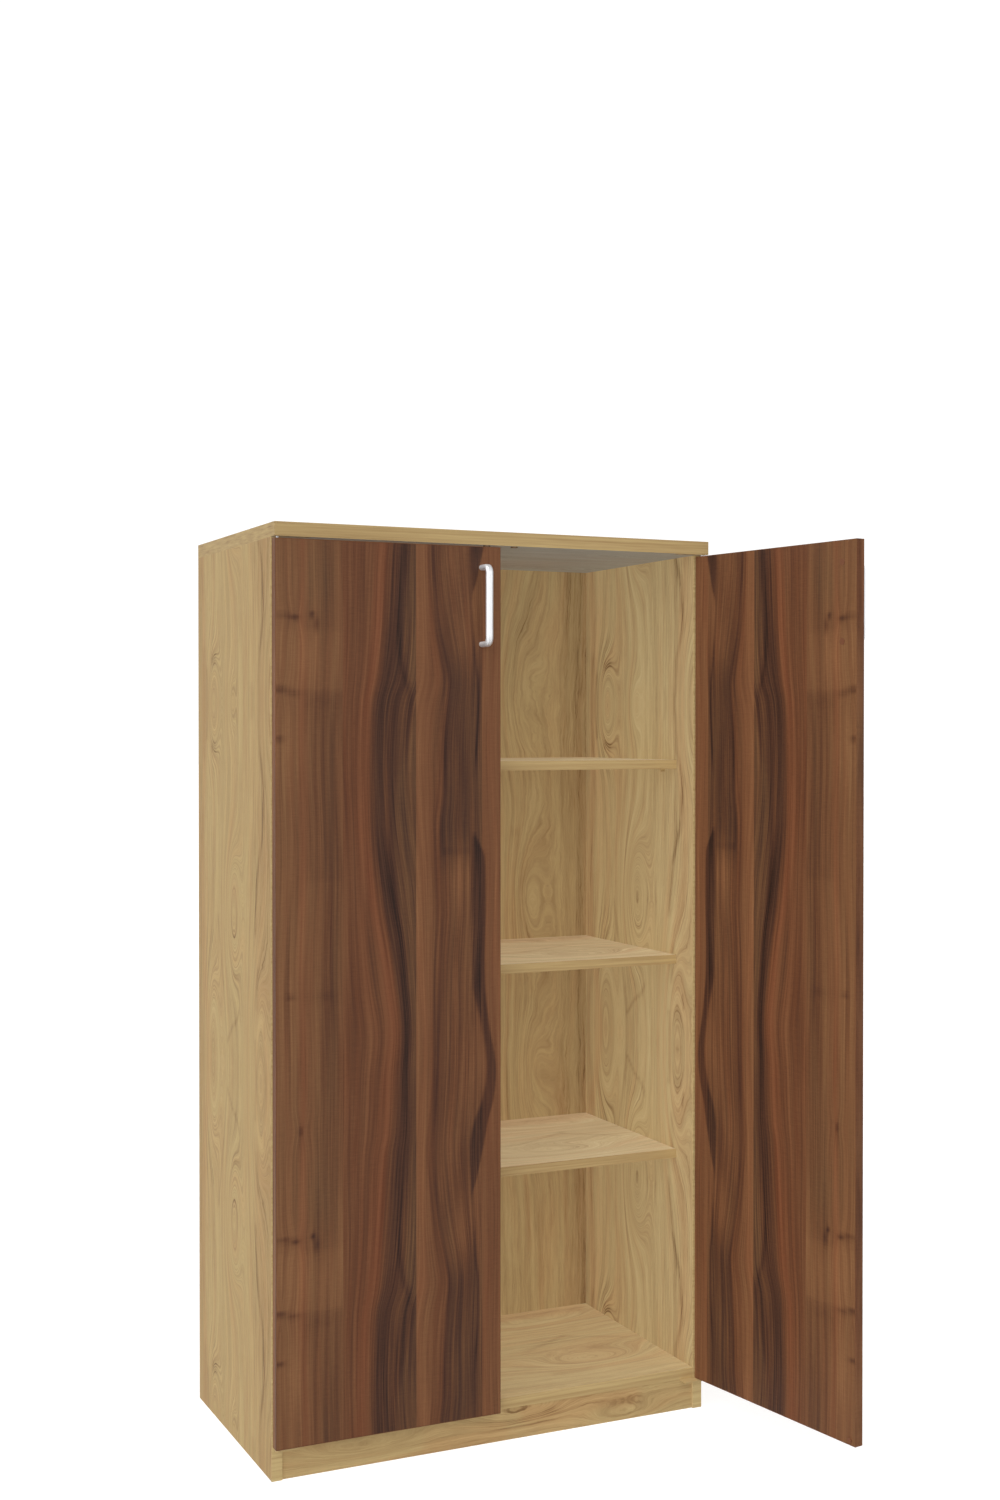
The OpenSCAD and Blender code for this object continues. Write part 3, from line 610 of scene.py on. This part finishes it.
def wrapped_drop(drop, centre):
    """Distance down from centre, taken to the nearest repeat of the print."""
    return (drop - centre + PRINT_REPEAT / 2) % PRINT_REPEAT - PRINT_REPEAT / 2


def knot(across, drop, at_across, at_drop, half_across, half_drop):
    """A spot of height 1 that repeats with the print."""
    return np.exp(-((across - at_across) / half_across) ** 2 - (wrapped_drop(drop, at_drop) / half_drop) ** 2)


def walnut_figure(across, drop):
    """The figure of the walnut print at places across and down the door, in mm. Returns its depth of
    shade, 0 pale to 1 nearly black, its warmth, 0 grey to 1 red, how strongly fine streaks show, and the
    growth field that they follow."""
    heart_left = trail(drop, (0, 198), (140, 187), (190, 182), (225, 177), (260, 168), (325, 164), (395, 162),
                       (490, 165), (590, 181), (660, 196), (730, 207), (800, 214), (870, 208), (970, 203))
    heart_right = trail(drop, (0, 228), (70, 222), (140, 218), (200, 222), (260, 237), (325, 225), (395, 206),
                        (490, 202), (590, 211), (660, 222), (730, 226), (800, 231), (870, 230), (970, 230))
    vein = trail(drop, (0, 272), (86, 278), (138, 285), (190, 296), (225, 301), (276, 297), (328, 294),
                 (414, 291), (465, 285), (560, 286), (612, 288), (700, 284), (840, 280), (928, 276))
    rim_left = trail(drop, (0, 338), (84, 341), (300, 346), (490, 343), (728, 343), (800, 359), (870, 368),
                     (925, 360), (960, 346))
    rim_right = trail(drop, (0, 364), (60, 350), (84, 343), (300, 348), (480, 350), (520, 366), (728, 366),
                      (800, 374), (870, 386), (925, 382), (960, 372))
    leaf0 = across < LEAF_JOINTS[0]
    leaf1 = (across >= LEAF_JOINTS[0]) & (across < LEAF_JOINTS[1])
    leaf2 = (across >= LEAF_JOINTS[1]) & (across < LEAF_JOINTS[2])
    leaf3 = across >= LEAF_JOINTS[2]

    shade = np.where(leaf0, 0.31 + 0.13 * ease(across, 52, 84) - 0.05 * ease(across, 98, 106), 0.0)
    seam = between(across, 91, 97, 6) * between(wrapped_drop(drop, 560), -260, 220, 120)
    shade = shade + leaf0 * 0.10 * seam
    shade = shade + np.where(leaf1, 0.47 + 0.04 * drift(drop + 4 * across, 21, 700), 0.0)
    shade = shade + np.where(leaf2, 0.27 + 0.15 * ease(across, 244, 276), 0.0) + np.where(leaf3, 0.36, 0.0)
    patch = between(across, 50, 113, 10) * between(wrapped_drop(drop, 400), -157, 150, 14)
    shade = shade + leaf0 * (0.06 * patch - 0.05 * between(wrapped_drop(drop, 190), -45, 52, 12))
    warmth = np.where(leaf0, 0.34, 0.0) + np.where(leaf1, 0.62, 0.0) + np.where(leaf2 | leaf3, 0.55, 0.0)

    past_heart = ease(across, heart_right - 6, heart_right + 9)
    heart = ease(across, heart_left - 9, heart_left + 13) * (1 - past_heart) * leaf1
    core = np.exp(-((across - heart_right + 6) / 4.5) ** 2) * leaf1
    core = core * ease(np.abs(wrapped_drop(drop, 360)), 60, 200)
    edge = np.exp(-((across - heart_left - 14) / 8) ** 2) * leaf1
    edge = edge * (1 - ease(np.abs(wrapped_drop(drop, 420)), 120, 260))
    flank = past_heart * leaf1
    shade = shade + 0.24 * heart + 0.2 * core + 0.1 * edge + 0.1 * flank
    warmth = warmth - 0.25 * heart - 0.5 * flank
    glow = np.exp(-((across - heart_left + 14) / 10) ** 2) * leaf1
    shade, warmth = shade - 0.06 * glow, warmth + 0.35 * glow

    thread = np.exp(-((across - vein) / 3.2) ** 2) * leaf2
    twin = np.exp(-((across - vein + 8 + 2 * drift(drop, 33, 400)) / 2.2) ** 2) * leaf2
    shade = shade + 0.4 * thread * (0.75 + 0.3 * drift(drop, 31, 300)) + 0.16 * twin
    beyond = ease(across, vein - 1, vein + 6) * leaf2
    dusk = between(wrapped_drop(drop, 355), -160, 160, 90)
    trailing = np.exp(-np.maximum(across - vein, 0) / 14) * beyond
    shade = shade + 0.16 * trailing + beyond * (0.03 + 0.17 * dusk + 0.06 * drift(drop + 3 * across, 41, 420))
    warmth = warmth - 0.3 * beyond * (0.4 + 0.6 * dusk)
    shade = shade - 0.12 * knot(across, drop, 318, 560, 24, 60) + 0.1 * between(
        across, 288, 340, 10) * np.exp(-(wrapped_drop(drop, 508) / 5) ** 2)

    wedge = ease(across, rim_left - 3, rim_left + 5) * (1 - ease(across, rim_right - 2, rim_right + 2))
    wedge = wedge * (1 - between(wrapped_drop(drop, 290), -200, 190, 20))
    shade = shade + 0.36 * wedge
    warmth = warmth - 0.1 * wedge
    hair = trail(drop, (0, 345), (150, 347), (192, 349), (227, 353), (296, 353), (365, 349), (480, 347),
                 (700, 345))
    hair = np.exp(-((across - hair) / 2.4) ** 2)
    shade = shade + 0.3 * hair * between(wrapped_drop(drop, 258), -110, 110, 60)

    spots = ((0.42, 33, 127, 8, 4.5), (0.3, 14, 123, 18, 3.5), (0.45, 62, 121, 4, 5), (0.28, 69, 136, 5, 13),
             (0.45, 5, 241, 16, 4), (0.25, 30, 247, 14, 4), (0.4, 6, 321, 9, 4), (0.35, 25, 733, 8, 3.5),
             (0.3, 42, 950, 4, 7), (0.12, 42, 968, 4, 30), (0.08, 82, 735, 26, 10), (-0.08, 60, 190, 46, 46),
             (-0.1, 30, 340, 34, 60), (0.05, 80, 262, 26, 9))
    shade = shade + leaf0 * sum(height * knot(across, drop, *place) for height, *place in spots)
    warmth = warmth + leaf0 * (0.35 * np.exp(-((across - 46) / 8) ** 2)
                               - 0.25 * knot(across, drop, 70, 60, 26, 60))

    pull = ((heart_left - 190) * np.exp(-((across - 195) / 55) ** 2)
            + (vein - 285) * np.exp(-((across - 300) / 40) ** 2))
    bend = sum(5 * knot(across, drop, a, d, 26, 26) * np.sign(across - a)
               for a, d in ((33, 127), (8, 243), (42, 950)))
    field = across - pull + bend + 3 * drift(drop, 61, 600) + 40 * (leaf1 + 2 * leaf2 + 3 * leaf3)
    strength = 0.65 + 0.55 * (heart + flank) + 0.4 * beyond + 0.3 * wedge
    return shade, warmth, strength, field


WALNUT_COOL = [(0.0, paint(140, 104, 70)), (0.25, paint(118, 85, 56)), (0.5, paint(94, 65, 44)),
               (0.75, paint(70, 47, 36)), (1.0, paint(40, 27, 22))]
WALNUT_WARM = [(0.0, paint(142, 94, 61)), (0.25, paint(123, 76, 50)), (0.5, paint(100, 58, 37)),
               (0.75, paint(74, 43, 30)), (1.0, paint(42, 24, 18))]


def walnut_foil(name, from_attributes):
    """Printed walnut. On the faces shade, warmth and the growth field come from the board's attributes. On
    the plain edge band they are noise along the strip from Object coordinates. Fine streaks, pores and a
    faint cross ripple lie over both."""
    made, bsdf = finish_named(name)
    tree = made.node_tree
    if from_attributes:
        grain = add(tree, "Attribute", {"attribute_name": "grain"}).outputs["Vector"]
        tone = add(tree, "Attribute", {"attribute_name": "tone"}).outputs["Vector"]
        tone = add(tree, "SeparateXYZ", Vector=tone)
        shade, warmth, strength = tone.outputs["X"], tone.outputs["Y"], tone.outputs["Z"]
    else:
        turned = add(tree, "SeparateXYZ", Vector=object_mm(tree))
        grain = add(tree, "CombineXYZ", X=turned.outputs["Y"], Y=turned.outputs["Z"], Z=3.0).outputs[0]
        shade = total(tree, 0.0, (streaks(tree, grain, (9, 500, 1)), 0.7))
        warmth, strength = 0.55, 1.0
    broad = streaks(tree, grain, (10, 480, 0.13), 2)
    middle = streaks(tree, grain, (3.4, 300, 0.12), 3)
    fine = streaks(tree, grain, (1.2, 100, 0.12), 2)
    pore = streaks(tree, grain, (0.5, 12, 0.14), 1)
    ripple = streaks(tree, grain, (16, 2.2, 0.15), 2)
    lines = total(tree, -0.55, (middle, 0.7), (fine, 0.4))
    depth = total(tree, -0.38, (shade, 1.0), (broad, 0.6), (ripple, 0.16), (lines, strength))
    warmth = total(tree, -0.4, (streaks(tree, grain, (13, 260, 0.16), 2), 0.8), (warmth, 1.0))
    mixed = add(tree, "Mix", {"data_type": "RGBA"}, i0=warmth, i6=shade_between(tree, depth, WALNUT_COOL),
                i7=shade_between(tree, depth, WALNUT_WARM))
    pits = add(tree, "MapRange", Value=pore, From_Min=0.62, From_Max=0.78, To_Min=1.0, To_Max=0.8)
    colour = add(tree, "VectorMath", {"operation": "SCALE"}, i0=mixed.outputs[2], Scale=pits.outputs[0])
    tree.links.new(colour.outputs[0], bsdf.inputs["Base Color"])
    gloss = add(tree, "MapRange", Value=fine, From_Min=0.3, From_Max=0.7, To_Min=0.44, To_Max=0.56)
    tree.links.new(gloss.outputs[0], bsdf.inputs["Roughness"])
    bump = add(tree, "Bump", Strength=0.2, Distance=0.0002, Height=pits.outputs[0])
    tree.links.new(bump.outputs[0], bsdf.inputs["Normal"])
    bsdf.inputs["Specular IOR Level"].default_value = 0.12
    return made


WALNUT_FOIL = walnut_foil("walnut_foil", True)
WALNUT_EDGING = walnut_foil("walnut_edging", False)
DOOR_CELL = (2.1 * MM, 6.2 * MM)

left_low, left_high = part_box("left_door_edge_band")
door_top = left_high.z


def swing(points, pivot, angle):
    """Turns points about the upright line through pivot by angle."""
    flat = points[:, :2] - pivot
    turn = np.array([[math.cos(angle), math.sin(angle)], [-math.sin(angle), math.cos(angle)]])
    return np.column_stack([flat @ turn + pivot, points[:, 2]])


hinge = {j["child"]: j for j in frame["joints"]}["right_door_body"]
right_pivot = np.array(hinge["pos_m"][:2])
right_open = math.radians(-hinge["range_deg"][0])
shut_low, shut_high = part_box("left_door")

for hand, first_x, angle in (("left", left_low.x, 0.0), ("right", -left_high.x, right_open)):
    low = (first_x + (shut_low.x - left_low.x), shut_low.y, shut_low.z)
    high = (low[0] + (shut_high.x - shut_low.x), shut_high.y, shut_high.z)
    joints = [first_x + (at + side * JOINT_GAP / 2) * MM for at in LEAF_JOINTS for side in (-1, 1)]
    door, across, along = board(hand + "_door_board", low, high, 1, 2, DOOR_CELL, 0.2 * MM, joints)
    shade, warmth, strength, field = walnut_figure((across - first_x) / MM, (door_top - along) / MM)
    set_values(door.data, "tone", "FLOAT_VECTOR", np.stack([shade, warmth, strength], -1))
    set_values(door.data, "grain", "FLOAT_VECTOR", np.stack([field, (door_top - along) / MM, 0 * shade], -1))
    points = np.zeros(len(door.data.vertices) * 3)
    door.data.vertices.foreach_get("co", points)
    points = swing(points.reshape(-1, 3), right_pivot, angle) if angle else points.reshape(-1, 3)
    door.data.vertices.foreach_set("co", points.ravel())
    door.data.materials.append(WALNUT_FOIL)
    stand_for(door, hand + "_door_body", "walnut_board", hand + "_door")
    recolour(WALNUT_EDGING, hand + "_door_edge_band")


# ---------- Handles and what is behind them ----------
# A satin bow on each door, held by two screws from inside under walnut-coloured caps, and a brown pad
# near the free edge that meets the carcass.

SATIN = worked_metal("satin_nickel", (0.74, 0.745, 0.76, 1), 0.36, (0.3, 0.3, 14), 0.5)
for hand in ("left_", "right_"):
    recolour(SATIN, hand + "handle")
    recolour(BROWN, hand + "screw_caps", hand + "door_pad")
